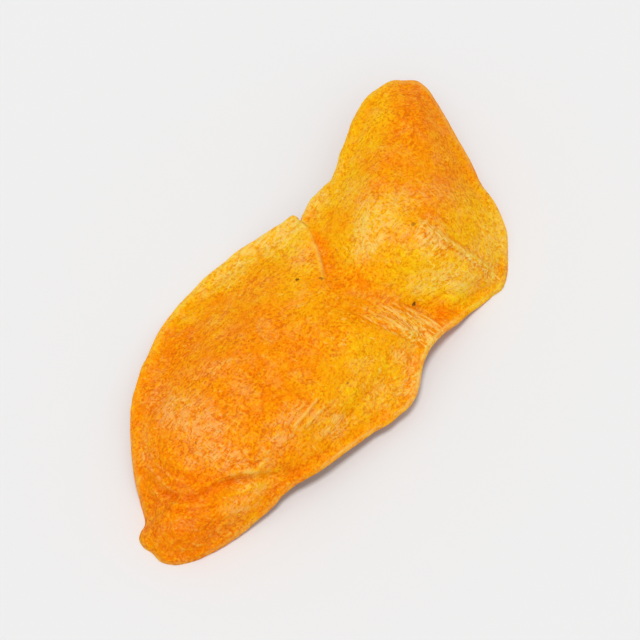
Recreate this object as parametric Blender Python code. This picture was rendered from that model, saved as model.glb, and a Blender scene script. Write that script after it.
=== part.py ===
"""A dried apricot: one whole fruit that was slit down its side, stoned, opened out like a book and dried,
so that its two halves stay joined at a waist. It is one leathery piece that lies on its cut side with its
skin up, like two shallow, buckled domes, and touches the table only in a few places along its margin.

The fruit is drawn on a grid as it is seen along a sight line that falls on the table from the front, at
SIGHT_DEG above it: u runs to the right and v up the picture, both in steps of UNIT. Each point also has a
height above the table, and lay_down() turns (u, v, height) into the fruit's own frame.
Frame: metres, +Z up, +Y away from the front, origin on the table under the middle of the fruit's box."""

import bmesh
import bpy
import numpy as np
from math import cos, pi, radians, sin
from mathutils import Vector, noise

# ---- driving dimensions, in millimetres unless they say otherwise --------------------------------------
UNIT = 0.265          # one step of the drawing grid
SIGHT_DEG = 62.0      # height of the sight line above the table, in degrees
EDGE_THICKNESS = 1.15 # of the leathery margin
FLESH_THICKNESS = 3.0 # of the flesh, half way in
STONE_BED = 1.9       # what is left of the flesh where the stone lay
EDGE_WIDTH = 5.0      # how far in from the margin the flesh reaches its full thickness
SINK = 0.55           # how far the margin is pressed flat where it rests
MIDDLE = (0.171, -1.183)  # middle of the fruit's box before it is centred (x, y)
SPOKES = 56           # mesh lines round the margin
RINGS = 7             # mesh lines from the midline to the margin

# The margin, clockwise from the near end: u, v, height of the skin there, and how far it flares (0 keeps
# rolling down, 1 runs out level). The first half goes up the left side.
LEFT = (
    (-71, -116.5, 0.4, 0.2), (-82, -110, 0.3, 0.2), (-85, -98, 0.5, 0.2), (-88, -76, 2.2, 0.3),
    (-90, -55, 3.0, 0.4), (-89, -38, 3.4, 0.6), (-83.5, -21, 3.0, 0.8), (-76, -5, 2.2, 0.9),
    (-65, 10, 1.5, 0.9), (-52, 23, 1.4, 0.8), (-38, 34, 2.1, 0.7), (-23, 44.2, 3.4, 0.7),
    (-12.5, 50.5, 4.7, 0.7), (-8.3, 50.0, 4.8, 0.6), (-4.6, 57.8, 4.4, 0.6), (1, 65.6, 4.3, 0.6),
    (9, 77, 4.6, 0.5), (14.5, 92, 5.2, 0.4), (23, 107, 5.4, 0.3), (33, 115.5, 5.0, 0.3),
)
RIGHT = (
    (42, 117.5, 4.4, 0.3), (51, 113.5, 3.9, 0.3), (61, 99.5, 3.4, 0.3), (71, 83, 3.0, 0.4),
    (79, 66, 2.6, 0.5), (87, 54.5, 2.1, 0.6), (91.5, 40, 1.4, 0.6), (91.5, 27, 0.65, 0.5),
    (87.5, 14.5, 0.6, 0.5), (74, 6, 2.4, 0.5), (63, -1, 4.2, 0.5), (57, -10.5, 4.4, 0.5),
    (51.5, -21, 4.0, 0.5), (47, -35.5, 3.6, 0.5), (36, -47.5, 3.5, 0.5), (20, -57.5, 3.7, 0.5),
    (5, -69, 3.9, 0.4), (-11, -79, 3.6, 0.3), (-24.5, -92, 2.5, 0.2), (-43, -106.5, 1.0, 0.2),
    (-59, -114.5, 0.6, 0.2),
)
LEFT_WAIST, RIGHT_WAIST = 13, 10    # the margin points at the waist, counted in LEFT and in RIGHT
LEFT_TURN, RIGHT_TURN = 112.0, 98.0 # where they stand, in degrees from the near end to the far end

# The midline from the near half over the waist to the far half: u, v, height of the skin.
MIDLINE = ((-57, -76, 7.6), (-33, -44, 9.8), (-7, -10, 9.8), (20, 19, 8.2), (37, 50, 10.8), (45, 87, 9.0))


def smooth(x):
    x = np.clip(x, 0.0, 1.0)
    return x * x * (3.0 - 2.0 * x)


def hermite(knots, values, at, period=None):
    """A smooth curve through values at increasing knots, read at the given places; closed if it has a period."""
    knots, values, at = np.asarray(knots, float), np.asarray(values, float), np.asarray(at, float)
    if period:
        knots = np.concatenate([knots[-2:] - period, knots, knots[:3] + period])
        values = np.concatenate([values[-2:], values, values[:3]])
    slopes = np.empty_like(values)
    step = np.diff(knots)[:, None]
    rise = np.diff(values, axis=0) / step
    slopes[1:-1] = (rise[1:] * step[:-1] + rise[:-1] * step[1:]) / (step[1:] + step[:-1])
    slopes[0], slopes[-1] = rise[0], rise[-1]
    slopes[[0, -1], 2:] = 0
    i = np.clip(np.searchsorted(knots, at, side="right") - 1, 0, len(knots) - 2)
    h = (knots[i + 1] - knots[i])[:, None]
    t = ((at - knots[i]) / h[:, 0])[:, None]
    return (
        (1 + 2 * t) * (1 - t) ** 2 * values[i] + t * (1 - t) ** 2 * h * slopes[i]
        + t * t * (3 - 2 * t) * values[i + 1] + t * t * (t - 1) * h * slopes[i + 1]
    )


def turns():
    """The margin's points, and where each stands in degrees, spaced by its length between the near end, the waist and the far end."""
    points = np.array(LEFT + RIGHT, float)
    closed = np.concatenate([points, points[:1]])
    along = np.concatenate([[0], np.cumsum(np.hypot(*np.diff(closed[:, :2], axis=0).T))])
    tip, right_waist = len(LEFT), len(LEFT) + RIGHT_WAIST
    marks = (0, LEFT_WAIST, tip, right_waist, len(points))
    return points, np.interp(along, along[list(marks)], (0, LEFT_TURN, 180, 360 - RIGHT_TURN, 360))[:-1]


def margin(turn):
    points, knots = turns()
    return hermite(knots, points, turn, 360.0)


def midline(turn):
    points = np.array(MIDLINE, float)
    along = np.concatenate([[0], np.cumsum(np.hypot(*np.diff(points[:, :2], axis=0).T))])
    return hermite(along / along[-1], points, (1 - np.cos(np.radians(turn))) / 2)


def path(points, n=40):
    points = np.array(points, float)
    along = np.concatenate([[0], np.cumsum(np.hypot(*np.diff(points, axis=0).T))])
    return hermite(along, points, np.linspace(0, along[-1], n))


def beside(u, v, points):
    """How far each (u, v) lies from a line through the points, positive on its left, and how far along it, from 0 to 1."""
    line = path(points)
    a, d = line[:-1], np.diff(line, axis=0)
    wu, wv = u[:, None] - a[:, 0], v[:, None] - a[:, 1]
    t = np.clip((wu * d[:, 0] + wv * d[:, 1]) / (d ** 2).sum(1), 0, 1)
    du, dv = wu - t * d[:, 0], wv - t * d[:, 1]
    far = np.hypot(du, dv)
    k = far.argmin(1)
    row = np.arange(len(u))
    side = np.sign(d[k, 0] * wv[row, k] - d[k, 1] * wu[row, k])
    return far[row, k] * np.where(side == 0, 1, side), (k + t[row, k]) / len(d)


def fades(along, start, end):
    """1 in the middle of a line, and down to 0 at its start and end over these shares of it."""
    return smooth(along / max(start, 1e-6)) * smooth((1 - along) / max(end, 1e-6))


def ridge(u, v, points, height, width, start=0.25, end=0.25):
    """A rounded ridge, or with a negative height a furrow, along a line."""
    off, along = beside(u, v, points)
    return height * np.exp(-(off / width) ** 2) * fades(along, start, end)


def fold(u, v, points, height, left_width, right_width, start=0.25, end=0.25, soft=1.2):
    """A fold, rounded over soft, whose left flank falls away over left_width and whose right flank over right_width."""
    off, along = beside(u, v, points)
    width = np.where(off > 0, left_width, right_width)
    return height * np.exp(-(np.sqrt(off ** 2 + soft ** 2) - soft) / width) * fades(along, start, end)


def lap(u, v, points, up, down, left_width, right_width, step, start=0.4, end=0.05):
    """A torn lip: the skin left of the line stands up by up and what lies right of it is down by down."""
    off, along = beside(u, v, points)
    over = smooth(0.5 + off / (2 * step))
    high = up * np.exp(-np.maximum(off, 0) / left_width)
    low = down * np.exp(-np.maximum(-off, 0) / right_width)
    return (high * over - low * (1 - over)) * fades(along, start, end)


TEAR = ((6.5, 13), (4, 20), (2.6, 27), (1.2, 33.5), (-1.4, 39.8), (-4.4, 44.6), (-8.6, 48.8))


def relief(u, v):
    """The buckles of the skin that come on top of the two domes, in millimetres."""
    return (
        # the fold under the near dome, the step below it and a second, fainter one
        lap(u, v, ((-90, -50), (-80, -63), (-68, -71), (-50, -74.5), (-32, -73), (-14, -67)), 0.3, 0.45, 14, 7, 4, 0.25, 0.3)
        + ridge(u, v, ((-50, -92), (-36, -86), (-24, -80)), 0.5, 7)
        + ridge(u, v, ((-84, -68), (-74, -80), (-60, -86), (-40, -84), (-22, -76)), -0.4, 4)
        # the trough inside the near half's upper left margin
        + ridge(u, v, ((-86, -50), (-78, -30), (-66, -10), (-50, 6), (-30, 16)), -0.8, 9)
        # the valley across the waist and the torn lip at its left end
        + ridge(u, v, ((-2, 44), (4, 30), (14, 17), (30, 10), (48, 7), (66, 3)), -1.1, 8, 0.2, 0.1)
        + lap(u, v, TEAR, 0.7, 0.7, 12, 10, 1.6)
        # the near half's right shoulder and the pleats that run out from the waist
        + ridge(u, v, ((8, -14), (30, -6), (50, -8)), 0.7, 11)
        + ridge(u, v, ((-8, -42), (8, -26), (26, -12)), 0.25, 5)
        + ridge(u, v, ((8, -52), (22, -38), (38, -22)), -0.3, 5)
        + ridge(u, v, ((40, -46), (46, -32), (50, -22)), 0.25, 4)
        # the far half: its crest, the crooked fold across it and the furrow above its lower margin
        + ridge(u, v, ((22, 44), (30, 66), (36, 92)), 0.7, 10)
        + fold(u, v, ((40, 52), (50, 45), (62, 37), (75, 28), (86, 21)), 1.3, 9, 16)
        + ridge(u, v, ((36, 12), (50, 8), (64, 7), (78, 11), (86, 18)), -0.5, 4.5)
        + ridge(u, v, ((62, 96), (72, 72), (84, 48)), -0.5, 7)
    )


def lay_down(u, v, height):
    """From the drawing grid to the fruit's own frame, in millimetres."""
    s = radians(SIGHT_DEG)
    return np.stack([u * UNIT - MIDDLE[0], (v * UNIT - height * cos(s)) / sin(s) - MIDDLE[1], height], axis=1)


def skin(turn, reach):
    """Points of the skin: reach goes from 0 on the midline to 1 on the margin. Gives u, v, height and the way left to the margin in mm."""
    rim, mid = margin(turn), midline(turn)
    u = mid[:, 0] + reach * (rim[:, 0] - mid[:, 0])
    v = mid[:, 1] + reach * (rim[:, 1] - mid[:, 1])
    to_rim = (1 - reach) * np.hypot(rim[:, 0] - mid[:, 0], rim[:, 1] - mid[:, 1]) * UNIT
    fall = (1 - rim[:, 3]) * reach ** 2.3 + rim[:, 3] * smooth(reach ** 1.4)
    height = mid[:, 2] + fall * (rim[:, 2] - mid[:, 2])
    wave = np.array([noise.noise(Vector((a * 0.021, b * 0.021, 3.7))) for a, b in zip(u, v)])
    height = height + relief(u, v) * smooth(0.35 + to_rim / 6) + 0.8 * wave * smooth(0.3 + to_rim / 8)
    return u, v, height, to_rim


def oval(u, v, middle, radii, tilt_deg):
    """0 at the middle of an oval, 1 on its outline."""
    c, s = cos(radians(tilt_deg)), sin(radians(tilt_deg))
    du, dv = u - middle[0], v - middle[1]
    return np.hypot((du * c + dv * s) / radii[0], (dv * c - du * s) / radii[1])


def thickness(u, v, to_rim):
    body = EDGE_THICKNESS + (FLESH_THICKNESS - EDGE_THICKNESS) * smooth(to_rim / EDGE_WIDTH)
    for middle, radii, tilt in (((-30, -36), (34, 25), 50), ((48, 66), (28, 19), 68)):
        bed = 1 - smooth((oval(u, v, middle, radii, tilt) - 0.55) / 0.6)
        body = body * (1 - bed) + np.minimum(body, STONE_BED) * bed
    return body


def build():
    for old in list(bpy.data.objects):
        bpy.data.objects.remove(old, do_unlink=True)

    # one sheet of skin: rings of points from the midline out to the margin
    half = SPOKES // 2
    around = np.arange(SPOKES) * 360.0 / SPOKES
    rings = [around[: half + 1]] + [around] * RINGS
    turn = np.concatenate(rings)
    reach = np.concatenate([np.full(len(r), (j / RINGS) ** 0.9) for j, r in enumerate(rings)])
    u, v, height, to_rim = skin(turn, reach)
    places = lay_down(u, v, height) * 0.001

    sheet = bmesh.new()
    corners = [sheet.verts.new(p) for p in places]
    ring_of = lambda j, i: i % SPOKES + half + 1 + (j - 1) * SPOKES if j else min(i % SPOKES, SPOKES - i % SPOKES)
    for j in range(RINGS):
        for i in range(SPOKES):
            sheet.faces.new([corners[ring_of(*k)] for k in ((j + 1, i), (j, i), (j, i + 1), (j + 1, i + 1))])
    bmesh.ops.recalc_face_normals(sheet, faces=sheet.faces)
    sheet.normal_update()
    if sum(f.normal.z for f in sheet.faces) < 0:
        bmesh.ops.reverse_faces(sheet, faces=sheet.faces)
    mesh = bpy.data.meshes.new("dried_apricot")
    sheet.to_mesh(mesh)
    sheet.free()
    fruit = bpy.data.objects.new("dried_apricot", mesh)
    bpy.context.scene.collection.objects.link(fruit)

    # the flesh under the skin, thin at the margin and where the stone lay
    thick = thickness(u, v, to_rim)
    group = fruit.vertex_groups.new(name="thickness")
    for k, t in enumerate(thick):
        group.add([k], float(t / FLESH_THICKNESS), "REPLACE")
    flesh = fruit.modifiers.new("flesh", "SOLIDIFY")
    flesh.thickness, flesh.offset = FLESH_THICKNESS * 0.001, -1.0
    flesh.vertex_group, flesh.thickness_vertex_group = "thickness", 0.0
    rounded = fruit.modifiers.new("rounded", "SUBSURF")
    rounded.levels = rounded.render_levels = 1

    # pressed flat where it rests: what would reach below the table is cut off level
    tray = bmesh.new()
    bmesh.ops.create_cube(tray, size=1.0)
    bmesh.ops.scale(tray, vec=(0.16, 0.16, 0.02), verts=tray.verts)
    bmesh.ops.translate(tray, vec=(0, 0, -0.01), verts=tray.verts)
    tray_mesh = bpy.data.meshes.new("tray_cutter")
    tray.to_mesh(tray_mesh)
    tray.free()
    cutter = bpy.data.objects.new("tray_cutter", tray_mesh)
    bpy.context.scene.collection.objects.link(cutter)
    cutter.hide_render, cutter.display_type = True, "WIRE"
    rest = fruit.modifiers.new("rest", "BOOLEAN")
    rest.operation, rest.solver, rest.object = "DIFFERENCE", "EXACT", cutter
    fruit.location.z = -SINK * 0.001

    dried = bpy.data.materials.new("dried_flesh")
    dried.use_nodes = True
    shader = dried.node_tree.nodes["Principled BSDF"]
    shader.inputs["Base Color"].default_value = (0.90, 0.36, 0.03, 1)
    shader.inputs["Roughness"].default_value = 0.5
    shader.inputs["Metallic"].default_value = 0.0
    shader.inputs["Subsurface Weight"].default_value = 0.4
    shader.inputs["Subsurface Radius"].default_value = (0.003, 0.0012, 0.0004)
    mesh.materials.append(dried)
    mesh.shade_smooth()
    return fruit


build()
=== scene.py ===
"""A dried apricot, slit, stoned and opened flat, as it looks: the leathery skin side with its buckled domes, thin pale
margin and dusty bloom, and the fibrous cut side underneath. The surface is drawn on the same grid as the CAD (u to the
right, v up the picture, UNIT millimetres a step, with a height above the table) and is then laid down."""

from math import cos, pi, radians, sin

import bmesh
import bpy
import numpy as np
from mathutils import Matrix, Vector, noise


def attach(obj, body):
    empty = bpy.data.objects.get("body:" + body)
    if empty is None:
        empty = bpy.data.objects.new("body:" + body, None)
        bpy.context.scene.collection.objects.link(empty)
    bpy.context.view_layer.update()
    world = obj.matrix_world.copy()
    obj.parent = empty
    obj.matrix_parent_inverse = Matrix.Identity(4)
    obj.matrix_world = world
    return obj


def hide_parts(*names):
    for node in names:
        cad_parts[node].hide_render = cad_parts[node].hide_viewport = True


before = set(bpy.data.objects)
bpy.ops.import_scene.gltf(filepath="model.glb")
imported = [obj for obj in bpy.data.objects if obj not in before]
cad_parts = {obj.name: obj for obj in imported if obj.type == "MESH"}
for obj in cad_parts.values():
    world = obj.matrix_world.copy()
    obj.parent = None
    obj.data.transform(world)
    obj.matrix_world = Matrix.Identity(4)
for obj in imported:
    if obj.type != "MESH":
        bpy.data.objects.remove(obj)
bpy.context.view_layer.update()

# ---- the fruit's drawing: the same lines and heights as the CAD ----------------------------------------
UNIT = 0.265
SIGHT_DEG = 62.0
EDGE_THICKNESS = 1.15
FLESH_THICKNESS = 3.0
STONE_BED = 1.9
EDGE_WIDTH = 5.0
SINK = 0.55
MIDDLE = (0.171, -1.183)
LENS = 600   # long, because the drawing has no perspective

LEFT = (
    (-70, -116.8, 0.4, 0.2), (-75, -115.4, 0.35, 0.2), (-79.6, -111.4, 0.3, 0.2), (-83.4, -108.6, 0.3, 0.2),
    (-85.6, -104.6, 0.3, 0.2), (-85.0, -101.4, 0.4, 0.2), (-83.2, -98.2, 0.5, 0.2), (-83.9, -93, 0.7, 0.2),
    (-85.8, -86, 1.3, 0.25), (-87.9, -76, 2.2, 0.3), (-90, -55, 3.0, 0.4), (-89, -38, 3.4, 0.6),
    (-83.5, -21, 3.0, 0.8), (-76, -5, 2.2, 0.9), (-65, 10, 1.5, 0.9), (-52, 23, 1.4, 0.8),
    (-38, 34, 2.1, 0.7), (-23, 44.0, 3.4, 0.7), (-15.6, 48.6, 4.4, 0.7), (-12.7, 50.3, 4.7, 0.7),
    (-11.4, 49.8, 4.8, 0.7), (-8.7, 47.2, 4.8, 0.6), (-7.7, 51.2, 4.5, 0.6), (-5.0, 56.6, 4.4, 0.6),
    (-2.2, 60.8, 4.4, 0.6), (2, 65.1, 4.3, 0.6), (6, 68.6, 4.4, 0.5), (7.8, 73.5, 4.5, 0.5), (9.9, 79.8, 4.7, 0.5),
    (14.5, 92.5, 5.2, 0.4), (18, 101, 5.3, 0.3), (22, 107.3, 5.4, 0.3), (29, 113.4, 5.2, 0.3), (36, 117, 4.8, 0.3),
)
RIGHT = (
    (42, 116.9, 4.4, 0.3), (47.5, 117, 4.1, 0.3), (52.4, 113.6, 3.9, 0.3), (57, 107.3, 3.6, 0.3), (62, 98.6, 3.4, 0.3),
    (67.5, 88.8, 3.2, 0.4), (73, 79, 2.9, 0.4),
    (79, 66, 2.6, 0.5), (87, 54.5, 2.1, 0.6), (91.4, 40, 1.4, 0.6), (91.6, 29, 0.8, 0.5),
    (90.8, 21, 0.6, 0.5), (88.6, 15.6, 0.6, 0.5), (83.5, 12.2, 0.9, 0.5), (74.4, 5.6, 2.4, 0.5),
    (67, -0.2, 3.5, 0.5), (60.6, -4.6, 4.3, 0.5), (56.4, -9.6, 4.4, 0.5), (52.4, -16, 4.3, 0.5), (49.9, -22, 4.0, 0.5),
    (47.2, -35.5, 3.6, 0.5),
    (36, -47.5, 3.5, 0.5), (20, -57.5, 3.7, 0.5), (5, -69, 3.9, 0.4), (-11, -79, 3.6, 0.3),
    (-24.5, -92, 2.5, 0.2), (-43, -106.5, 1.0, 0.2), (-59, -114.5, 0.6, 0.2),
)
LEFT_WAIST, RIGHT_WAIST = 21, 16
LEFT_TURN, RIGHT_TURN = 112.0, 98.0
MIDLINE = ((-57, -76, 7.6), (-33, -44, 9.8), (-7, -10, 9.8), (20, 19, 8.2), (37, 50, 10.8), (45, 87, 9.0))
TEAR = ((5.4, 13.5), (3.9, 17.5), (2.7, 21.6), (1.8, 26), (0.4, 31.5), (-2.2, 38), (-5.6, 44.4), (-9.2, 48.2))

SPOKES = 640   # mesh lines round the margin
RINGS = 104    # from the midline to the margin
ROLL = 9       # round the margin's edge
UNDER = 32     # back to the midline on the cut side


def smooth(x):
    x = np.clip(x, 0.0, 1.0)
    return x * x * (3.0 - 2.0 * x)


def hermite(knots, values, at, period=None):
    knots, values, at = np.asarray(knots, float), np.asarray(values, float), np.asarray(at, float)
    if period:
        knots = np.concatenate([knots[-2:] - period, knots, knots[:3] + period])
        values = np.concatenate([values[-2:], values, values[:3]])
    slopes = np.empty_like(values)
    step = np.diff(knots)[:, None]
    rise = np.diff(values, axis=0) / step
    slopes[1:-1] = (rise[1:] * step[:-1] + rise[:-1] * step[1:]) / (step[1:] + step[:-1])
    slopes[0], slopes[-1] = rise[0], rise[-1]
    slopes[[0, -1], 2:] = 0
    i = np.clip(np.searchsorted(knots, at, side="right") - 1, 0, len(knots) - 2)
    h = (knots[i + 1] - knots[i])[:, None]
    t = ((at - knots[i]) / h[:, 0])[:, None]
    return (
        (1 + 2 * t) * (1 - t) ** 2 * values[i] + t * (1 - t) ** 2 * h * slopes[i]
        + t * t * (3 - 2 * t) * values[i + 1] + t * t * (t - 1) * h * slopes[i + 1]
    )


def margin(turn):
    points = np.array(LEFT + RIGHT, float)
    closed = np.concatenate([points, points[:1]])
    along = np.concatenate([[0], np.cumsum(np.hypot(*np.diff(closed[:, :2], axis=0).T))])
    marks = [0, LEFT_WAIST, len(LEFT), len(LEFT) + RIGHT_WAIST, len(points)]
    knots = np.interp(along, along[marks], (0, LEFT_TURN, 180, 360 - RIGHT_TURN, 360))[:-1]
    return hermite(knots, points, turn, 360.0)


def midline(turn):
    points = np.array(MIDLINE, float)
    along = np.concatenate([[0], np.cumsum(np.hypot(*np.diff(points[:, :2], axis=0).T))])
    return hermite(along / along[-1], points, (1 - np.cos(np.radians(turn))) / 2)


def path(points, n=40):
    points = np.array(points, float)
    along = np.concatenate([[0], np.cumsum(np.hypot(*np.diff(points, axis=0).T))])
    return hermite(along, points, np.linspace(0, along[-1], n))


def beside(u, v, points):
    line = path(points)
    a, d = line[:-1], np.diff(line, axis=0)
    wu, wv = u[:, None] - a[:, 0], v[:, None] - a[:, 1]
    t = np.clip((wu * d[:, 0] + wv * d[:, 1]) / (d ** 2).sum(1), 0, 1)
    du, dv = wu - t * d[:, 0], wv - t * d[:, 1]
    far = np.hypot(du, dv)
    k = far.argmin(1)
    row = np.arange(len(u))
    side = np.sign(d[k, 0] * wv[row, k] - d[k, 1] * wu[row, k])
    return far[row, k] * np.where(side == 0, 1, side), (k + t[row, k]) / len(d)


def fades(along, start, end):
    return smooth(along / max(start, 1e-6)) * smooth((1 - along) / max(end, 1e-6))


def ridge(u, v, points, height, width, start=0.25, end=0.25):
    off, along = beside(u, v, points)
    return height * np.exp(-(off / width) ** 2) * fades(along, start, end)


def fold(u, v, points, height, left_width, right_width, start=0.25, end=0.25, soft=1.2):
    off, along = beside(u, v, points)
    width = np.where(off > 0, left_width, right_width)
    return height * np.exp(-(np.sqrt(off ** 2 + soft ** 2) - soft) / width) * fades(along, start, end)


def lap(u, v, points, up, down, left_width, right_width, step, start=0.4, end=0.05):
    off, along = beside(u, v, points)
    over = smooth(0.5 + off / (2 * step))
    high = up * np.exp(-np.maximum(off, 0) / left_width)
    low = down * np.exp(-np.maximum(-off, 0) / right_width)
    return (high * over - low * (1 - over)) * fades(along, start, end)


def oval(u, v, middle, radii, tilt_deg):
    c, s = cos(radians(tilt_deg)), sin(radians(tilt_deg))
    du, dv = u - middle[0], v - middle[1]
    return np.hypot((du * c + dv * s) / radii[0], (dv * c - du * s) / radii[1])


def patch(u, v, middle, radii, tilt_deg, soft=0.6):
    """1 inside an oval, fading to 0 over its outline."""
    return 1 - smooth((oval(u, v, middle, radii, tilt_deg) - (1 - soft)) / (2 * soft))


def big_relief(u, v):
    """The folds that the CAD has too."""
    return (
        lap(u, v, ((-90, -50), (-80, -63), (-68, -71), (-50, -74.5), (-32, -73), (-14, -67)), 0.3, 0.55, 14, 7, 3.0, 0.25, 0.3)
        + ridge(u, v, ((-50, -92), (-36, -86), (-24, -80)), 0.5, 7)
        + ridge(u, v, ((-84, -68), (-74, -80), (-60, -86), (-40, -84), (-22, -76)), -0.4, 4)
        + ridge(u, v, ((-86, -50), (-78, -30), (-66, -10), (-50, 6), (-30, 16)), -0.8, 9)
        + ridge(u, v, ((-2, 44), (4, 30), (14, 17), (30, 10), (48, 7), (66, 3)), -1.1, 8, 0.2, 0.1)
        + lap(u, v, TEAR, 0.7, 0.7, 12, 10, 1.0)
        + ridge(u, v, ((8, -14), (30, -6), (50, -8)), 0.7, 11)
        + ridge(u, v, ((-8, -42), (8, -26), (26, -12)), 0.25, 5)
        + ridge(u, v, ((8, -52), (22, -38), (38, -22)), -0.3, 5)
        + ridge(u, v, ((40, -46), (46, -32), (50, -22)), 0.25, 4)
        + ridge(u, v, ((22, 44), (30, 66), (36, 92)), 0.7, 10)
        + fold(u, v, ((40, 52), (50, 45), (62, 37), (75, 28), (86, 21)), 1.3, 9, 16)
        + ridge(u, v, ((36, 10), (49, 5.5), (63, 4.5), (78, 9.5), (86, 17)), -0.5, 4.5)
        + ridge(u, v, ((62, 96), (72, 72), (84, 48)), -0.5, 7)
    )


def grain(p, q, scale, seed, turn_deg=0.0, stretch=1.0):
    """Smooth noise from -1 to 1 over millimetres p, q, with its features scale mm wide and drawn out along a direction."""
    c, s = cos(radians(turn_deg)), sin(radians(turn_deg))
    a, b = (p * c + q * s) / (scale * stretch), (q * c - p * s) / scale
    return np.array([noise.noise(Vector((x, y, seed))) for x, y in zip(a.tolist(), b.tolist())])


def lay_down(u, v, height):
    s = radians(SIGHT_DEG)
    return np.stack([u * UNIT - MIDDLE[0], (v * UNIT - height * cos(s)) / sin(s) - MIDDLE[1], height], axis=1)


def thickness(u, v, to_rim):
    body = EDGE_THICKNESS + (FLESH_THICKNESS - EDGE_THICKNESS) * smooth(to_rim / EDGE_WIDTH)
    for middle, radii, tilt in (((-30, -36), (34, 25), 50), ((48, 66), (28, 19), 68)):
        bed = 1 - smooth((oval(u, v, middle, radii, tilt) - 0.55) / 0.6)
        body = body * (1 - bed) + np.minimum(body, STONE_BED) * bed
    return body


# ---- the sheet of skin, as a grid of rings x spokes ----------------------------------------------------
turn = np.arange(SPOKES) * 360.0 / SPOKES
reach_of_ring = np.sin(np.linspace(0, 1, RINGS + 1) ** 0.95 * pi / 2) ** 0.9
reach_of_ring = 0.5 * reach_of_ring + 0.5 * np.linspace(0, 1, RINGS + 1)
rim, mid = margin(turn), midline(turn)

# small nicks and waves of the margin
wave_a = np.cos(np.radians(turn)) * 14, np.sin(np.radians(turn)) * 14
edge_wave = 0.55 * grain(wave_a[0], wave_a[1], 1.5, 2.1) + 0.20 * grain(wave_a[0], wave_a[1], 0.45, 7.7)
outward = rim[:, :2] - mid[:, :2]
outward /= np.hypot(*outward.T)[:, None]
room = 0.4 + 0.9 * np.maximum(-outward[:, 1], 0) * smooth(rim[:, 2] / 3.5)   # room for the rounded edge, which the camera sees on the near side

reach = reach_of_ring[:, None] * np.ones(SPOKES)
edge_wave = edge_wave - room
U = mid[:, 0] + reach * (rim[:, 0] + edge_wave * outward[:, 0] - mid[:, 0])
V = mid[:, 1] + reach * (rim[:, 1] + edge_wave * outward[:, 1] - mid[:, 1])
to_rim = (1 - reach) * np.hypot(rim[:, 0] - mid[:, 0], rim[:, 1] - mid[:, 1]) * UNIT
fall = (1 - rim[:, 3]) * reach ** 2.3 + rim[:, 3] * smooth(reach ** 1.4)
H = mid[:, 2] + fall * (rim[:, 2] - mid[:, 2])
shape = U.shape
u, v, r = U.ravel(), V.ravel(), to_rim.ravel()
p, q = u * UNIT, v * UNIT
low = grain(u, v, 1 / 0.021, 3.7)
ripple = 0.32 * grain(wave_a[0], wave_a[1], 2.4, 51.3) + 0.12 * grain(wave_a[0], wave_a[1], 0.9, 57.1)
base = H.ravel() + big_relief(u, v) * smooth(0.35 + r / 6) + 0.8 * low * smooth(0.3 + r / 8)
base = base + np.tile(ripple, RINGS + 1) * np.exp(-r / 2.5)

def crease(field, width):
    """1 along the lines where a noise is zero, and down to 0 within width of them."""
    return np.exp(-(field / width) ** 2)


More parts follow.
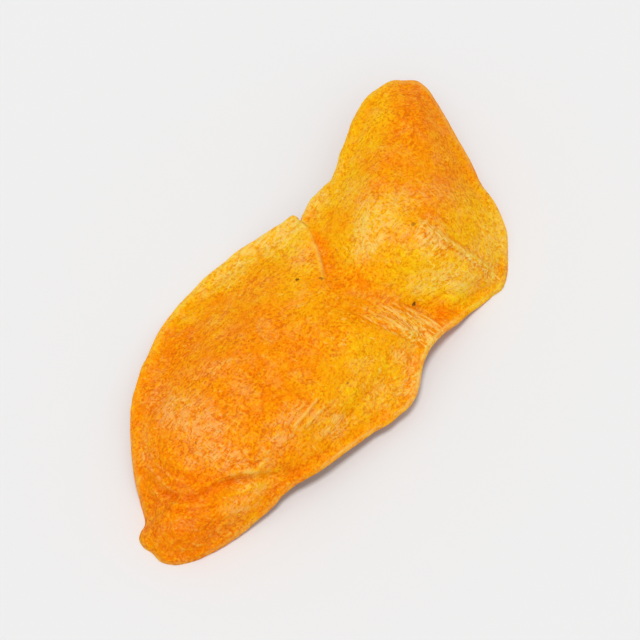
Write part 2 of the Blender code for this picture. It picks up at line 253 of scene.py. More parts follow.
# buckles and wrinkles of the dried skin, finer than the CAD has them
wave = 0.22 * grain(p, q, 3.4, 11.3, 48, 1.5) + 0.12 * grain(p, q, 1.7, 5.9, 48, 1.5)
wrinkle = crease(grain(p, q, 2.6, 41.3, 50, 2.2), 0.07) * smooth(0.5 + 1.5 * grain(p, q, 6.0, 13.1))
wrinkle_b = crease(grain(p, q, 1.5, 47.9, 44, 2.0), 0.09) * smooth(0.4 + 1.5 * grain(p, q, 4.0, 19.1))
fine = 0.055 * grain(p, q, 0.8, 17.1, 48, 1.4) + 0.035 * grain(p, q, 0.42, 23.9)
lip = 0.22 * np.exp(-((r - 0.45) / 0.45) ** 2) - 0.12 * np.exp(-((r - 1.6) / 0.6) ** 2)
lip *= smooth(0.75 + 0.9 * grain(p, q, 7.0, 29.3))
PLEATS = (   # line, height, width, paleness (pale dust and painted light on the ridge): fine folds at the waist, on the far half's crest and under the near dome
    (((22, 3), (34, -1), (50, -9)), 0.26, 1.0, 0.65), (((20, -1), (32, -6), (46, -15)), 0.24, 1.0, 0.5),
    (((28, 8), (42, 3), (56, -5)), 0.25, 1.0, 0.7), (((38, 8), (47, 4), (60, -3)), 0.22, 1.0, 0.7),
    (((30, 5), (40, -2), (54, -12)), 0.20, 1.0, 0.65), (((46, 2), (53, -2), (60, -6)), 0.20, 1.0, 0.7),
    (((-2, -34), (16, -14), (30, -4)), 0.14, 2.2, 0.3), (((8, -44), (24, -26), (40, -16)), 0.14, 2.0, 0.3),
    (((-20, -58), (0, -44), (14, -30)), 0.14, 2.2, 0.3),
    (((-15, -54), (-7, -45), (2, -34)), 0.18, 1.1, 0.9), (((-11, -56), (-3, -47), (6, -37)), 0.14, 1.0, 0.7), (((1, -57), (7, -49), (13, -41)), 0.14, 1.5, 0.6),
    (((-84.5, -62), (-82.2, -67.6), (-78.6, -73.5), (-71.5, -78.9), (-64.4, -80.7), (-54.9, -78.3), (-46, -74.7), (-38, -72.6), (-30, -72), (-20, -69.5)), 0.30, 1.6, 0.35),
    (((-84.5, -56), (-83, -66.6), (-77.3, -73.5), (-70.4, -80.4), (-62.4, -83.8)), 0.10, 0.9, 0.75),
    (((-81, -58), (-78.4, -66.6), (-73.8, -71.2), (-65.8, -75.8), (-58, -75.5)), 0.12, 0.9, 0.6),
    (((-48, -74), (-38, -72.4), (-28, -72), (-18, -71)), 0.06, 1.6, 0.6),
    (((-84, -72), (-80.5, -78.5), (-74.5, -84), (-67, -86.8), (-57, -87.6), (-46, -85)), 0.26, 1.3, 0.45),
    (((-82, -84), (-75, -90), (-66, -93), (-56, -93)), 0.18, 1.3, 0.3),
    (((-46, -84), (-36, -81), (-24, -76)), 0.18, 1.4, 0.4),
    (((48, 50), (57, 41.5), (63, 38), (69.7, 33.6), (76, 29.6), (82.3, 25), (87, 19)), 0.40, 1.3, 0.75),
    (((46, 48.5), (53, 42), (60, 36), (66, 31)), 0.18, 1.1, 0.7), (((50, 53), (57, 47.5), (64, 42.5)), 0.16, 1.1, 0.6),
    (((47, 43), (53, 49.5)), 0.16, 1.1, 0.9), (((50.5, 40), (56, 46)), 0.16, 1.1, 0.9), (((54, 36.5), (59, 42)), 0.14, 1.1, 0.9),
    (((58, 33.5), (63, 38.5)), 0.14, 1.1, 0.8), (((64, 29), (69, 34)), 0.12, 1.1, 0.7),
    (((14, 15), (24, 12), (34, 13)), 0.10, 1.4, 0.3), (((12, 9), (20, 6), (28, 7)), 0.10, 1.4, 0.5),
)
CREASES = (  # line, depth, width, deepness of the painted shade: beside the folds
    (((-83, -64), (-80.5, -69.8), (-76, -75), (-70, -78), (-63.5, -78.4), (-56, -75.4)), 0.20, 1.1, 0.6),
    (((-83.5, -71), (-79.8, -77.1), (-75, -81.4), (-68.5, -83.8), (-60.8, -84.2), (-53, -81.5), (-46, -77.6), (-38, -75.6), (-27.6, -75), (-18, -72), (-6, -69)), 0.36, 2.0, 0.6),
    (((-83, -79), (-77.5, -86), (-69, -89.8), (-58, -90.4), (-48, -88)), 0.22, 1.4, 0.5),
    (((51, 44.5), (57, 39.2), (64.5, 34.2), (71, 30), (79, 24.6), (86, 17)), 0.24, 0.9, 1.0), (((54, 46), (61, 41), (68, 36.6), (74, 33), (81, 28), (87, 22)), 0.22, 0.9, 0.9),
    (((49, 6.4), (56, 4.6), (63, 4.4), (70, 6.4)), 0.22, 1.2, 0.45),
    (((22, 0.8), (33, -3.6), (47, -12)), 0.20, 0.9, 0.8), (((30, 3.2), (41, -0.4), (53, -8)), 0.20, 0.9, 0.9), (((36, 9.5), (46, 5.8), (58, -0.5)), 0.20, 0.9, 0.9),
    (((33, 6.5), (44, 2.4), (56, -4)), 0.14, 0.8, 0.7), (((26, -1), (37, -6), (50, -14.5)), 0.14, 0.8, 0.7),
    (((-3, 12), (10, 6), (24, 3.5), (36, 2)), 0.16, 1.3, 0.4),
)
pleats = sum(ridge(u, v, line, height, width) for line, height, width, pale in PLEATS)
pleats = pleats - sum(ridge(u, v, line, depth, width) for line, depth, width, deep in CREASES)
skin = base + (1.25 * wave - 0.20 * wrinkle - 0.10 * wrinkle_b + fine) * smooth(0.25 + r / 5) + (lip + pleats) * smooth(0.5 + r)


def grid_normals(P):
    """Upward normals of a rings x spokes grid of points."""
    du = np.roll(P, -1, axis=1) - np.roll(P, 1, axis=1)
    dr = np.empty_like(P)
    dr[1:-1] = P[2:] - P[:-2]
    dr[-1] = P[-1] - P[-2]
    mirrored = P[1][(-np.arange(P.shape[1])) % P.shape[1]]
    dr[0] = P[1] - mirrored
    n = np.cross(du, dr)
    size = np.linalg.norm(n, axis=2, keepdims=True)
    n = np.where(size > 1e-9, n / np.maximum(size, 1e-9), np.array([0, 0, 1.0]))
    return n * np.where(n[:, :, 2:] < 0, -1, 1)


def blurred(A, times):
    """A grid averaged with its neighbours, rings and spokes, with the midline folded over itself."""
    back = (-np.arange(A.shape[1])) % A.shape[1]
    for _ in range(times):
        inner = np.concatenate([A[1][back][None], A[:-1]])
        outer = np.concatenate([A[1:], A[-1:]])
        A = (2 * A + inner + outer + np.roll(A, 1, axis=1) + np.roll(A, -1, axis=1)) / 6
    return A


off, along = beside(u, v, TEAR)
lean = 0.9 * smooth(0.5 + off / 2.0) * np.exp(-np.maximum(off, 0) / 2.5) * fades(along, 0.4, 0.05)   # the lip leans over the tear
top = lay_down(u + 0.92 * lean, v + 0.35 * lean, skin).reshape(*shape, 3)
soft_top = blurred(lay_down(u, v, base).reshape(*shape, 3), 14)
normals = grid_normals(soft_top)
normals[0] = (normals[0] + normals[0][(-np.arange(SPOKES)) % SPOKES]) / 2
normals = blurred(normals, 10)
normals /= np.linalg.norm(normals, axis=2, keepdims=True)
thick = thickness(u, v, r).reshape(shape)
thick *= 1 + 0.35 * grain(wave_a[0], wave_a[1], 1.6, 61.9) * np.exp(-to_rim / 2.0)

# the edge: a half round between the skin and the cut side, and then the cut side back to the midline
edge_normal, edge_point = normals[-1], top[-1]
half = thick[-1][:, None] / 2
tangent = np.roll(edge_point, -1, axis=0) - np.roll(edge_point, 1, axis=0)
side = np.cross(tangent, edge_normal)
side /= np.linalg.norm(side, axis=1, keepdims=True)
side *= np.sign((side[:, :2] * (edge_point - soft_top[-8])[:, :2]).sum(1))[:, None]
rolls = []
for k in range(1, ROLL):
    a = pi * k / ROLL
    rolls.append(edge_point - edge_normal * half * (1 - cos(a)) + side * half * 0.55 * sin(a))

rows = np.linspace(RINGS, 0, UNDER + 1).round().astype(int)
under_rows = []
for j in rows:
    uu, vv, rr = U[j], V[j], to_rim[j]
    t = thick[j] + 0.14 * grain(uu * UNIT, vv * UNIT, 2.0, 31.1, 50, 2.0) * smooth(rr / 3) + 0.08 * grain(uu * UNIT, vv * UNIT, 0.8, 37.7, 50, 2.5) * smooth(rr / 2)
    under_rows.append(soft_top[j] * smooth(rr / 2)[:, None] + top[j] * (1 - smooth(rr / 2))[:, None] - normals[j] * t[:, None])

rings = [top[j] for j in range(RINGS + 1)] + rolls + under_rows
points = np.concatenate(rings[0:1] + rings[1:]).reshape(-1, SPOKES, 3)
points[:, :, 2] -= SINK
z = points[:, :, 2]
points[:, :, 2] = np.where(z < 0.25, 0.01 + 0.24 * np.exp(np.clip((z - 0.25) / 0.24, -30, 0)), z)   # pressed flat where it rests

# kind of surface, for the material: 1 on the cut side
n_rows = len(points)
cut = np.concatenate([np.zeros(RINGS + 1), np.linspace(0, 1, ROLL + 1)[1:-1], np.ones(UNDER + 1)])
row_u = np.concatenate([U, np.repeat(U[-1:], ROLL - 1, 0), U[rows]])
row_v = np.concatenate([V, np.repeat(V[-1:], ROLL - 1, 0), V[rows]])
row_r = np.concatenate([to_rim, np.repeat(to_rim[-1:], ROLL - 1, 0), to_rim[rows]])

mesh = bpy.data.meshes.new("apricot")
bm = bmesh.new()
first = SPOKES // 2 + 1


def ring_vertices(row, closed_end):
    if closed_end:
        some = [bm.verts.new(points[row, i] * 0.001) for i in range(first)]
        return [some[min(i, SPOKES - i)] for i in range(SPOKES)]
    return [bm.verts.new(points[row, i] * 0.001) for i in range(SPOKES)]


tables, source = [], []
for row in range(n_rows):
    ends = row in (0, n_rows - 1)
    if ends:
        back = (-np.arange(SPOKES)) % SPOKES
        points[row] = (points[row] + points[row][back]) / 2
    tables.append(ring_vertices(row, ends))
    source.extend((row, i) for i in range(first if ends else SPOKES))
for row in range(n_rows - 1):
    a, b = tables[row], tables[row + 1]
    for i in range(SPOKES):
        k = (i + 1) % SPOKES
        loop = [b[i], a[i], a[k], b[k]]
        tip = [c for c in (i, k) if c % (SPOKES // 2) == 0]
        if tip and row in (0, n_rows - 2):   # at the midline's two ends, cut so that the two neighbours don't share a diagonal
            at = loop.index((a if row == 0 else b)[tip[0]])
            loop = loop[at:] + loop[:at]
            bm.faces.new((loop[0], loop[1], loop[2]))
            bm.faces.new((loop[0], loop[2], loop[3]))
        else:
            bm.faces.new(loop)
bmesh.ops.recalc_face_normals(bm, faces=bm.faces)
if bm.calc_volume(signed=True) < 0:
    bmesh.ops.reverse_faces(bm, faces=bm.faces)
bm.to_mesh(mesh)
bm.free()
mesh.shade_smooth()
source = np.array(source)


def attribute(name, values):
    layer = mesh.attributes.new(name, "FLOAT", "POINT")
    layer.data.foreach_set("value", values[source[:, 0], source[:, 1]].astype(np.float32))


strayed = [3.2 * grain(row_u.ravel() * UNIT, row_v.ravel() * UNIT, 1.6, seed) for seed in (71.3, 77.9)]


def region(*ovals):
    """The largest of some soft ovals with ragged outlines at each point: each is (middle, radii, tilt, strength)."""
    flat_u, flat_v = row_u.ravel() + strayed[0], row_v.ravel() + strayed[1]
    return np.max([w * patch(flat_u, flat_v, m, rad, tilt) for m, rad, tilt, w in ovals], axis=0).reshape(row_u.shape)


def on_top(values):
    """Values of the skin's grid carried on round the edge, and 0 on the cut side."""
    values = values.reshape(shape)
    return np.concatenate([values, np.repeat(values[-1:], ROLL - 1, 0), np.zeros((UNDER + 1, SPOKES))])


# how far a point stands above its surroundings, in millimetres: dust lies on what is high; painted shade deepens the
# colour in what is low, and painted light makes it yellower on what is high
proud = points[:, :, 2] - blurred(points, 30)[:, :, 2]
proud_wide = points[:, :, 2] - blurred(points, 160)[:, :, 2]
attribute("cut", np.repeat(cut[:, None], SPOKES, 1))
attribute("rim", np.exp(-row_r / 1.1))
attribute("proud", np.clip(proud / 0.12, -1, 1))
attribute("crest", np.clip(proud_wide / 0.35, -1, 1))
# pale dust and painted light along the pleats' ridges
attribute("pleat", on_top(np.max([ridge(u, v, line, pale, width * 1.1) for line, height, width, pale in PLEATS], axis=0)))
# painted shade along the creases beside the folds
attribute("sunk", on_top(np.max([ridge(u, v, line, deep, width) for line, depth, width, deep in CREASES], axis=0)))
# pale torn fibres and a painted highlight on the lip over the tear
attribute("torn", on_top(np.where(off > 0, np.exp(-((off - 0.8) / 0.9) ** 2), 0) * fades(along, 0.5, 0.03)))
# painted rim light: a pale line just inside the margin, raised where the rounded edge faces away from the light
attribute("edge", np.exp(-((row_r - 0.22) / 0.22) ** 2) * (
    1 - region(((16, 88), (14, 36), -20, 0.8), ((-84, -32), (12, 26), 0, 0.8))
    + 1.4 * region(((50, -26), (8, 20), -14, 1.0), ((24, -56), (28, 8), 32, 0.8), ((60, -4), (8, 6), 30, 0.8))))
attribute("gold", np.clip(region(((51, 13), (10, 6), 0, 1.0), ((66, 15), (11, 4), 8, 0.7), ((50, 23), (7, 5), 0, 0.6)), 0, 1))
attribute("combed", np.clip(on_top(np.max([w * patch(u, v, m, rad, tilt, 0.4) for m, rad, tilt, w in (
    ((44, -2.5), (16, 6.5), -33, 1.0), ((53, -6), (9, 7), -35, 1.0), ((30, 1), (12, 6), -25, 0.4))], axis=0)), 0, 1))
attribute("crested", np.clip(on_top(ridge(u, v, ((46, 51), (57, 41.5), (69.7, 33), (79, 26), (89, 16)), 1.1, 2.2, 0.10, 0.10)), 0, 1))
attribute("hatched", np.clip(on_top(ridge(u, v, ((43, 45), (51, 40), (58, 34.5), (65, 30)), 1.0, 2.6, 0.3, 0.3)), 0, 1))
# yellow tone in patches; on the far half's right flank it is partly painted light, lifting a slope that faces away from
# the sun
attribute("yellow", region(
    ((-42, 30), (40, 11), 41, 1.15), ((-17, 41), (18, 12), 33, 1.2), ((-66, 3), (12, 9), 50, 0.8), ((-34, 17), (40, 11), 32, 0.35), ((-12, 19), (11, 8), 35, 0.85),
    ((26, -26), (28, 20), 45, 0.9), ((56, 22), (27, 14), -15, 1.3), ((54, 17), (26, 8), 5, 1.3), ((20, 19), (20, 13), 0, 0.5), ((7, 33), (7, 15), 10, 0.6), ((62, 7), (18, 5), 12, 0.9),
    ((8, 64), (14, 26), -30, 1.0), ((24, 42), (26, 15), 40, 1.0), ((22, 92), (12, 26), -25, 0.9), ((76, 42), (17, 24), 10, 1.0),
    ((60, 78), (12, 16), 20, 0.2), ((44, -3), (20, 9), -33, 0.6), ((-76, -12), (8, 24), -28, 0.5), ((76, 12), (18, 9), 30, 1.1),
    ((0, -54), (18, 11), 45, 0.35), ((-30, -77), (13, 5), 15, 0.8), ((-35, -86), (10, 7), 25, 0.3), ((2, 2), (14, 18), 0, 0.4),
    ((-19, 29), (14, 9), 38, 0.5), ((44, 74), (16, 14), 40, 0.3)))
# deep orange tone in patches, and painted shade under the near dome's fold and along the waist's right margin
attribute("deep", region(
    ((-58, -104), (24, 12), -10, 1.0), ((-70, -86), (14, 14), 0, 0.8), ((-80, -80), (12, 30), 5, 0.6), ((-66, -12), (9, 7), 60, 1.0),
    ((-31, 0), (9, 8), 20, 0.5), ((-52, -20), (10, 8), 30, 0.5), ((-40, -38), (9, 14), 0, 0.5), ((-14, -36), (8, 10), 30, 0.4),
    ((-56, -76), (16, 5), -8, 1.0), ((-76, -66), (8, 10), -20, 0.8), ((48, 96), (12, 16), 15, 0.6), ((60, 68), (8, 13), 30, 0.5),
    ((44, 110), (14, 7), 0, 0.5), ((-82, -34), (9, 28), 5, 0.5), ((-46, -49), (10, 8), 0, 0.6), ((-36, -17), (7, 6), 0, 0.4), ((-34, -36), (20, 16), 40, 0.4), ((42, 70), (14, 12), 0, 0.2),
    ((58, -4), (6, 14), -34, 1.0), ((46, -20), (5, 9), -30, 0.7), ((46.5, -29), (6, 12), -12, 0.9), ((35, -15), (6, 5), 0, 0.6), ((15, -14), (6, 4), 0, 0.3), ((65, 46), (5, 4), 0, 0.3), ((5, -40), (6, 7), 0, 0.3), ((30, 11), (12, 4), -20, 0.3), ((51, -24), (5, 15), -15, 0.65), ((7, 27), (6, 10), 15, 0.1),
    ((-12, -73), (16, 5), 35, 0.7)))
attribute("bloom", region(
    ((-60, -47), (18, 10), -20, 1.15), ((-46, -63), (14, 6), -35, 1.4), ((-57, -65), (8, 5), -10, 0.7), ((-25, -65), (6, 4), 20, 0.6), ((-74, -38), (9, 9), 0, 0.5), ((-16, -51), (12, 6), 50, 0.95),
    ((-36, -34), (6, 9), 20, 0.45), ((8, -51), (9, 4), 25, 0.8), ((-2, -46), (6, 4), 40, 0.6), ((30, -35), (9, 6), 50, 0.5), ((44, -30), (6, 9), -20, 0.8),
    ((42, -16), (6, 5), 0, 0.6), ((20, -22), (8, 4), 30, 0.35), ((38, 0), (10, 4), -30, 0.55), ((50, -6), (11, 5), -35, 0.8), ((-19.5, 42.5), (14, 7), 35, 1.4),
    ((-40, 28), (14, 6), 40, 0.8), ((-54, 18), (8, 5), 45, 0.5), ((-48, -22), (15, 2.5), 15, 0.5), ((-8, 32), (7, 8), 0, 0.5), ((-3, 58), (5, 9), -30, 0.9),
    ((5, 70), (5, 8), -25, 0.5), ((27, 48), (9, 11), 0, 1.1), ((22.5, 38), (6, 9), 0, 1.2), ((38, 57), (16, 6), 20, 0.6),
    ((24, 62), (14, 6), 0, 0.3), ((53, 39), (7, 8), 0, 1.0), ((38, 40), (7, 7), 0, 0.65), ((66, 20), (14, 6), -10, 0.8), ((76, 29), (8, 6), -30, 0.65),
    ((52, 18), (8, 5), 0, 0.7), ((84, 36), (6, 14), 0, 0.6), ((60, 62), (10, 8), 0, 0.35), ((-37, -88), (8, 5), 20, 0.75),
    ((-33, -79), (7, 3), 0, 0.8), ((-66, -97), (9, 3), 10, 0.4), ((-44, -99), (10, 4), 20, 0.3), ((-50, -1), (5, 3), 20, 0.35),
    ((-25, -4), (4, 6), 20, 0.4), ((-30, 16), (10, 4), 30, 0.1), ((-82, -58), (4, 12), 0, 0.3)))


def on_skin(at_u, at_v):
    """The place on the skin that is drawn at u, v, in metres."""
    k = ((U - at_u) ** 2 + (V - at_v) ** 2).argmin()
    return Vector(points[: RINGS + 1].reshape(-1, 3)[k] * 0.001)


fruit = bpy.data.objects.new("apricot", mesh)
bpy.context.scene.collection.objects.link(fruit)
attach(fruit, "root")
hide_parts("dried_apricot")

# ---- material ------------------------------------------------------------------------------------------
flesh = bpy.data.materials.new("dried_flesh")
flesh.use_nodes = True
nodes, links = flesh.node_tree.nodes, flesh.node_tree.links
shader = nodes["Principled BSDF"]


def node(kind, **settings):
    made = nodes.new(kind)
    for key, value in settings.items():
        setattr(made, key, value)
    return made


def plug(value, socket):
    if isinstance(value, bpy.types.NodeSocket):
        links.new(value, socket)
    else:
        socket.default_value = value


def math(operation, a, b=0.0, c=0.0, clamp=False):
    made = node("ShaderNodeMath", operation=operation, use_clamp=clamp)
    for value, socket in zip((a, b, c), made.inputs):
        plug(value, socket)
    return made.outputs[0]


def mix(factor, a, b, kind="MIX"):
    made = node("ShaderNodeMix", data_type="RGBA", blend_type=kind)
    plug(factor, made.inputs[0])
    plug(a if isinstance(a, bpy.types.NodeSocket) else (*a, 1), made.inputs[6])
    plug(b if isinstance(b, bpy.types.NodeSocket) else (*b, 1), made.inputs[7])
    return made.outputs[2]


def ramp(value, low, high, out_low=0.0, out_high=1.0):
    made = node("ShaderNodeMapRange", interpolation_type="SMOOTHSTEP")
    for v_, socket in zip((value, low, high, out_low, out_high), made.inputs):
        plug(v_, socket)
    return made.outputs[0]


def read(name):
    return node("ShaderNodeAttribute", attribute_name=name).outputs["Fac"]


place = node("ShaderNodeTexCoord").outputs["Object"]


def noisy(size_mm, detail=2.0, rough=0.5, along=None, stretch=1.0, shift=0.0, kind="FBM", distort=0.0):
    """Noise with features of a size in millimetres, drawn out stretch times along a direction in the table's plane."""
    turned = node("ShaderNodeMapping", vector_type="TEXTURE")
    links.new(place, turned.inputs["Vector"])
    turned.inputs["Rotation"].default_value = (0, 0, radians(along) if along is not None else 0)
    turned.inputs["Location"].default_value = (shift, shift * 0.7, shift * 1.3)
    turned.inputs["Scale"].default_value = (stretch, 1, 1)
    made = node("ShaderNodeTexNoise", noise_dimensions="3D", noise_type=kind)
    links.new(turned.outputs[0], made.inputs["Vector"])
    made.inputs["Scale"].default_value = 1000.0 / size_mm
    made.inputs["Detail"].default_value = detail
    made.inputs["Roughness"].default_value = rough
    made.inputs["Distortion"].default_value = distort
    return made.outputs["Fac"]


def network(size_mm, along=0.0, stretch=1.0, shift=0.0, warp=0.5):
    """How far a point lies from the nearest border of irregular cells of a size in millimetres, in cells."""
    swirl = node("ShaderNodeTexNoise", noise_dimensions="3D")
    links.new(place, swirl.inputs["Vector"])
    swirl.inputs["Scale"].default_value = 1000.0 / (size_mm * 1.6)
    swirl.inputs["Detail"].default_value = 2.0
    moved = node("ShaderNodeVectorMath", operation="MULTIPLY_ADD")
    links.new(swirl.outputs["Color"], moved.inputs[0])
    moved.inputs[1].default_value = (warp * 0.001,) * 3
    links.new(place, moved.inputs[2])
    turned = node("ShaderNodeMapping", vector_type="TEXTURE")
    links.new(moved.outputs[0], turned.inputs["Vector"])
    turned.inputs["Rotation"].default_value = (0, 0, radians(along))
    turned.inputs["Location"].default_value = (shift, shift * 0.7, shift * 1.3)
    turned.inputs["Scale"].default_value = (stretch, 1, 1)
    made = node("ShaderNodeTexVoronoi", voronoi_dimensions="3D", feature="DISTANCE_TO_EDGE")
    links.new(turned.outputs[0], made.inputs["Vector"])
    made.inputs["Scale"].default_value = 1000.0 / size_mm
    return made.outputs["Distance"]


cut_side, rim_near, proud_by, crest_for_painted_light = read("cut"), read("rim"), read("proud"), read("crest")
is_yellow, deep_tone_and_shade, has_bloom = read("yellow"), read("deep"), read("bloom")
pleat_near, crease_shade_near, lip_light_and_fibres, rim_light = read("pleat"), read("sunk"), read("torn"), read("edge")
combed, crested, hatched, golden = read("combed"), read("crested"), read("hatched"), read("gold")

# the skin: translucent orange, yellow where it is thin; deeper orange in patches, and as painted shade in the hollows
blotches = noisy(8.0, 2.0, 0.5, shift=0.3)
mottle = noisy(2.6, 4.0, 0.6, shift=0.8)
patches = noisy(4.2, 2.0, 0.5, shift=21.4)
veil = noisy(1.7, 3.0, 0.6, shift=25.1, distort=0.5)
grit = noisy(0.70, 3.0, 0.66, along=52, stretch=1.2, shift=1.7, distort=1.2)
dots = noisy(0.34, 1.0, 0.5, shift=3.3)
streaks = noisy(0.38, 2.0, 0.6, along=50, stretch=3.4, shift=2.6, distort=0.8)
cross = noisy(0.38, 2.0, 0.6, along=-38, stretch=3.4, shift=8.6, distort=0.8)
cells = network(1.25, along=48, stretch=1.7, shift=0.4, warp=0.9)
winding = math("SINE", math("MULTIPLY", noisy(2.4, 1.0, 0.5, along=50, stretch=1.4, shift=31.7, distort=1.6), 44.0))
strands = math("MULTIPLY", math("SUBTRACT", noisy(0.40, 2.0, 0.6, along=-36, stretch=6.5, shift=12.4, distort=0.5), 0.5), combed)
strands = math("ADD", strands, math("MULTIPLY", math("SUBTRACT", noisy(0.38, 2.0, 0.6, along=-41, stretch=8.0, shift=15.1, distort=0.4), 0.5), crested))
strands = math("ADD", strands, math("MULTIPLY", math("SUBTRACT", noisy(0.38, 2.0, 0.6, along=50, stretch=4.0, shift=18.6, distort=0.4), 0.5), hatched))
yellow_by = math("ADD", math("MULTIPLY", is_yellow, 0.85), math("MULTIPLY", rim_near, 0.12))
yellow_by = math("ADD", yellow_by, math("MULTIPLY", math("SUBTRACT", blotches, 0.5), 0.6))
yellow_by = math("ADD", yellow_by, math("MULTIPLY", math("SUBTRACT", mottle, 0.5), 1.1))
# painted light: yellower where the skin stands high
yellow_by = math("ADD", yellow_by, math("MULTIPLY", crest_for_painted_light, 0.12), clamp=True)
colour = mix(yellow_by, (0.985, 0.272, 0.0008), (0.98, 0.472, 0.0028))
colour = mix(math("MULTIPLY", golden, ramp(mottle, 0.38, 0.56, 0.35, 0.9)), colour, (0.985, 0.600, 0.0045))
# deep orange: random tone plus the deep patches, which are partly painted shade
deep_and_shade_by = math("ADD", math("MULTIPLY", deep_tone_and_shade, 0.85), math("MULTIPLY", math("SUBTRACT", noisy(3.6, 4.0, 0.6, shift=4.1), 0.52), 1.2))
# painted shade: less deep where the skin stands high, so deeper in the hollows
deep_and_shade_by = math("SUBTRACT", deep_and_shade_by, math("MULTIPLY", crest_for_painted_light, 0.2), clamp=True)
colour = mix(math("MULTIPLY", deep_and_shade_by, 0.75), colour, (0.93, 0.195, 0.0008))
# painted shade: deeper orange along the creases beside the folds
crease_shade_by = math("MULTIPLY", crease_shade_near, ramp(math("ADD", mottle, math("MULTIPLY", crease_shade_near, 0.22)), 0.42, 0.60), clamp=True)
colour = mix(math("MULTIPLY", crease_shade_by, 0.72), colour, mix(yellow_by, (0.80, 0.140, 0.0006), (0.82, 0.250, 0.0008)))

# a net of fine creases with paler skin between them, and a still finer fibrous grain, both in patches
grainy = math("ADD", math("MULTIPLY", has_bloom, 0.35), ramp(patches, 0.38, 0.60, 0.70, 1.0))
creased = math("MULTIPLY", ramp(cells, 0.13, 0.0), ramp(mottle, 0.42, 0.58), clamp=True)
grain_by = math("ADD", math("MULTIPLY", grit, 0.45), math("ADD", math("MULTIPLY", math("MAXIMUM", streaks, cross), 0.25), math("MULTIPLY", dots, 0.30)))
grain_by = math("ADD", math("SUBTRACT", grain_by, 0.012), math("MULTIPLY", math("MULTIPLY", winding, 0.030), ramp(veil, 0.40, 0.56)))
grain_by = math("ADD", grain_by, math("MULTIPLY", strands, 0.35))
grain_by = math("SUBTRACT", math("ADD", grain_by, math("MULTIPLY", proud_by, 0.012)), math("MULTIPLY", creased, 0.035))
pale_by = math("MULTIPLY", ramp(grain_by, 0.50, 0.59), grainy, clamp=True)
colour = mix(math("MULTIPLY", pale_by, 0.78), colour, mix(yellow_by, (0.99, 0.43, 0.003), (0.99, 0.64, 0.010)))
pore_by = math("MULTIPLY", ramp(grain_by, 0.485, 0.415), grainy, clamp=True)
colour = mix(math("MULTIPLY", pore_by, math("SUBTRACT", 0.78, math("MULTIPLY", has_bloom, 0.10))), colour, mix(yellow_by, (0.73, 0.134, 0.0004), (0.77, 0.268, 0.0008)))

# dusty bloom in flecks, pale fibres that run along and across the fruit, and painted light: pale ridges on the pleats,
# a pale line inside the margin, a pale lip at the tear and small glints
fleck = noisy(0.80, 4.0, 0.72, along=50, stretch=1.7, shift=5.3)
dusty = math("ADD", math("ADD", math("MULTIPLY", fleck, 0.30), math("MULTIPLY", veil, 0.25)), math("MULTIPLY", math("ADD", streaks, cross), 0.225))
dusty = math("ADD", dusty, math("ADD", math("MULTIPLY", winding, 0.035), math("MULTIPLY", strands, 0.5)))
misty = math("MULTIPLY", ramp(noisy(2.6, 3.0, 0.6, shift=35.2), 0.48, 0.64), 0.27)
bloom_by = math("MULTIPLY", math("MAXIMUM", math("MULTIPLY", has_bloom, 1.1), misty), ramp(dusty, 0.45, 0.57, 0.05, 1.0), clamp=True)
pale_dust = mix(yellow_by, (0.98, 0.455, 0.125), (0.99, 0.655, 0.165))
colour = mix(math("MULTIPLY", bloom_by, 0.70), colour, pale_dust)
colour = mix(ramp(strands, 0.0, -0.11, 0.0, 0.60), colour, mix(yellow_by, (0.80, 0.170, 0.002), (0.84, 0.330, 0.004)))
colour = mix(ramp(strands, 0.0, 0.12, 0.0, 0.68), colour, mix(yellow_by, (0.99, 0.60, 0.15), (1.0, 0.74, 0.21)))
fibre = math("MULTIPLY", ramp(streaks, 0.565, 0.64), ramp(noisy(1.6, 2.0, 0.6, shift=14.2), 0.46, 0.60))
fibre_b = math("MULTIPLY", ramp(cross, 0.575, 0.65), ramp(noisy(1.9, 2.0, 0.6, shift=17.9), 0.47, 0.60))
threads_and_painted_light = math("MULTIPLY", math("MAXIMUM", fibre, fibre_b), math("ADD", math("MULTIPLY", has_bloom, 0.85), 0.12), clamp=True)
# pale dust and painted light on the pleats' ridges
pleat_dust_and_light = math("ADD", math("MULTIPLY", pleat_near, 0.60), math("MULTIPLY", math("SUBTRACT", fleck, 0.5), 1.1))
pleat_dust_and_light = math("MULTIPLY", ramp(pleat_dust_and_light, 0.24, 0.56), ramp(pleat_near, 0.08, 0.40), clamp=True)
threads_and_painted_light = math("MAXIMUM", threads_and_painted_light, math("MULTIPLY", pleat_dust_and_light, 0.8))
# painted rim light along the margin
threads_and_painted_light = math("MAXIMUM", threads_and_painted_light, math("MULTIPLY", math("MULTIPLY", rim_light, 0.38), ramp(mottle, 0.36, 0.58)))
# pale torn fibres and a painted highlight on the lip over the tear
threads_and_painted_light = math("MAXIMUM", threads_and_painted_light, math("MULTIPLY", math("MULTIPLY", lip_light_and_fibres, 0.8), ramp(mottle, 0.30, 0.55)))
colour = mix(math("MULTIPLY", threads_and_painted_light, 0.70), colour, mix(yellow_by, (0.99, 0.56, 0.13), (1.0, 0.72, 0.18)))
# painted highlights: small pale yellow glints in the base colour
painted_glint = math("MULTIPLY", ramp(noisy(0.60, 1.0, 0.5, along=-20, stretch=1.8, shift=41.3, distort=0.8), 0.655, 0.73), ramp(noisy(3.0, 1.0, 0.5, shift=44.7), 0.45, 0.60))
colour = mix(math("MULTIPLY", painted_glint, 0.50), colour, mix(yellow_by, (1.0, 0.62, 0.10), (1.0, 0.77, 0.16)))

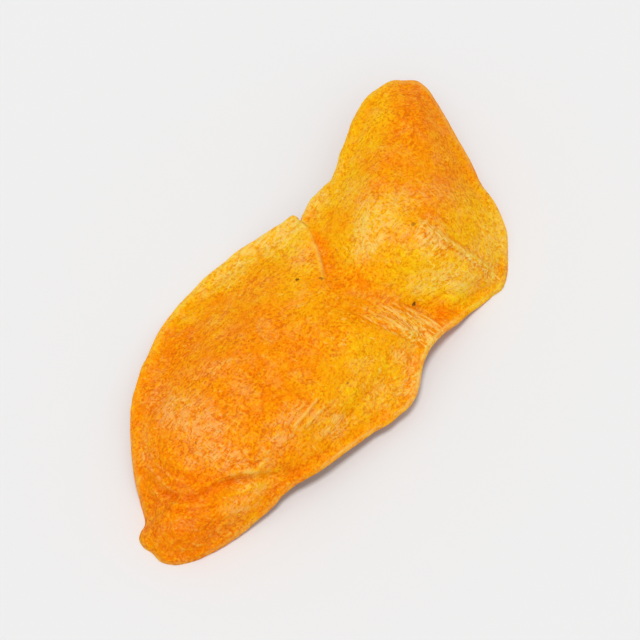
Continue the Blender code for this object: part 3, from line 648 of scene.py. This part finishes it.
# a few dark specks
crumbs = noisy(0.22, 2.0, 0.6, shift=2.2)
speck_by = None
for at_u, at_v, size_mm, dark in ((-10.6, 19.4, 0.25, 0.95), (1.2, 20.6, 0.28, 0.6), (45.6, 7.8, 0.28, 1.0), (45.6, 46, 0.3, 0.5), (-58, -58, 0.14, 0.6), (14, -30, 0.13, 0.6), (66, 62, 0.13, 0.5), (-30, 12, 0.12, 0.5)):
    away = node("ShaderNodeVectorMath", operation="DISTANCE")
    links.new(place, away.inputs[0])
    away.inputs[1].default_value = on_skin(at_u, at_v)
    one = ramp(math("ADD", away.outputs["Value"], math("MULTIPLY", math("SUBTRACT", crumbs, 0.5), 0.0006)), size_mm * 0.0013, size_mm * 0.0006, 0.0, dark)
    speck_by = one if speck_by is None else math("MAXIMUM", speck_by, one)
colour = mix(math("MULTIPLY", speck_by, 0.9), colour, (0.11, 0.032, 0.007))

# the cut side: wetter, redder flesh with pale fibres
fibres = noisy(0.5, 3.0, 0.6, along=56, stretch=7.0, shift=6.2)
flesh_colour = mix(ramp(noisy(4.0, 3.0, 0.6, shift=7.9), 0.35, 0.65), (0.86, 0.20, 0.004), (0.93, 0.33, 0.012))
flesh_colour = mix(math("MULTIPLY", ramp(fibres, 0.52, 0.70), 0.5), flesh_colour, (0.97, 0.52, 0.09))
flesh_colour = mix(math("MULTIPLY", ramp(noisy(1.4, 3.0, 0.65, shift=9.1), 0.55, 0.75), 0.6), flesh_colour, (0.62, 0.09, 0.002))
colour = mix(ramp(cut_side, 0.25, 0.8), colour, flesh_colour)
links.new(colour, shader.inputs["Base Color"])

rough = math("ADD", 0.50, math("MULTIPLY", math("SUBTRACT", mottle, 0.5), 0.35))
rough = math("ADD", rough, math("MULTIPLY", bloom_by, 0.2))
rough = math("SUBTRACT", rough, math("MULTIPLY", cut_side, 0.16), clamp=True)
links.new(rough, shader.inputs["Roughness"])
shader.inputs["Specular IOR Level"].default_value = 0.02
shader.inputs["Subsurface Weight"].default_value = 0.38
shader.inputs["Subsurface Radius"].default_value = (1.0, 0.5, 0.25)
shader.inputs["Subsurface Scale"].default_value = 0.0012

relief = math("ADD", math("MULTIPLY", grit, 1.0), math("MULTIPLY", math("ADD", streaks, cross), 0.45))
relief = math("ADD", relief, math("ADD", math("MULTIPLY", dots, 0.4), math("MULTIPLY", threads_and_painted_light, 0.25)))
relief = math("ADD", relief, math("ADD", math("MULTIPLY", winding, 0.04), math("MULTIPLY", strands, 1.2)))
relief = math("SUBTRACT", relief, math("MULTIPLY", creased, 0.30))
relief = math("ADD", relief, math("MULTIPLY", math("MULTIPLY", fibres, cut_side), 0.9))
bump = node("ShaderNodeBump")
bump.inputs["Strength"].default_value = 0.9
bump.inputs["Distance"].default_value = 0.00017
links.new(relief, bump.inputs["Height"])
links.new(bump.outputs[0], shader.inputs["Normal"])
mesh.materials.append(flesh)

# ---- floor, light and camera ---------------------------------------------------------------------------
floor_mesh = bpy.data.meshes.new("floor")
floor_mesh.from_pydata([(-30, -30, 0), (30, -30, 0), (30, 30, 0), (-30, 30, 0)], [], [(0, 1, 2, 3)])
floor = bpy.data.objects.new("floor", floor_mesh)
bpy.context.scene.collection.objects.link(floor)
pale = bpy.data.materials.new("floor_pale")
pale.use_nodes = True
pale.node_tree.nodes["Principled BSDF"].inputs["Base Color"].default_value = (0.81, 0.81, 0.81, 1)
pale.node_tree.nodes["Principled BSDF"].inputs["Roughness"].default_value = 0.9
floor_mesh.materials.append(pale)

world = bpy.data.worlds.new("studio")
bpy.context.scene.world = world
world.use_nodes = True
sky, wires = world.node_tree.nodes, world.node_tree.links
up = sky.new("ShaderNodeSeparateXYZ")
wires.new(sky.new("ShaderNodeTexCoord").outputs["Generated"], up.inputs[0])
shade = sky.new("ShaderNodeMapRange")
shade.interpolation_type = "SMOOTHSTEP"
for value, socket in zip((0.0, 0.40, 0.86, 0.565), list(shade.inputs)[1:5]):
    socket.default_value = value
wires.new(up.outputs[2], shade.inputs[0])
wires.new(shade.outputs[0], sky["Background"].inputs["Color"])
sky["Background"].inputs["Strength"].default_value = 1.0


key_data = bpy.data.lights.new("key", "SUN")
key_data.energy, key_data.angle = 1.56, radians(14)
key = bpy.data.objects.new("key", key_data)
key.rotation_euler = Vector((-0.03, -0.13, 0.75)).to_track_quat("Z", "Y").to_euler()
bpy.context.scene.collection.objects.link(key)

camera_data = bpy.data.cameras.new("camera")
camera_data.lens, camera_data.sensor_width = LENS, 36
camera = bpy.data.objects.new("camera", camera_data)
bpy.context.scene.collection.objects.link(camera)
bpy.context.scene.camera = camera
e = radians(SIGHT_DEG)
back_way = Vector((0, -cos(e), sin(e)))
flat = points.reshape(-1, 3) * 0.001
across = flat[:, 0]
upward = flat[:, 1] * sin(e) + flat[:, 2] * cos(e)
deep = flat @ np.array(back_way)
look = Vector(((across.max() + across.min()) / 2, 0, 0)) + Vector((0, sin(e), cos(e))) * float((upward.max() + upward.min()) / 2)
span = max(np.ptp(across), np.ptp(upward))
distance = span / 0.76 * LENS / 36
camera.location = look + back_way * (distance + float(deep.mean()))
camera.rotation_euler = back_way.to_track_quat("Z", "Y").to_euler()

bpy.context.scene.view_settings.view_transform = "Standard"
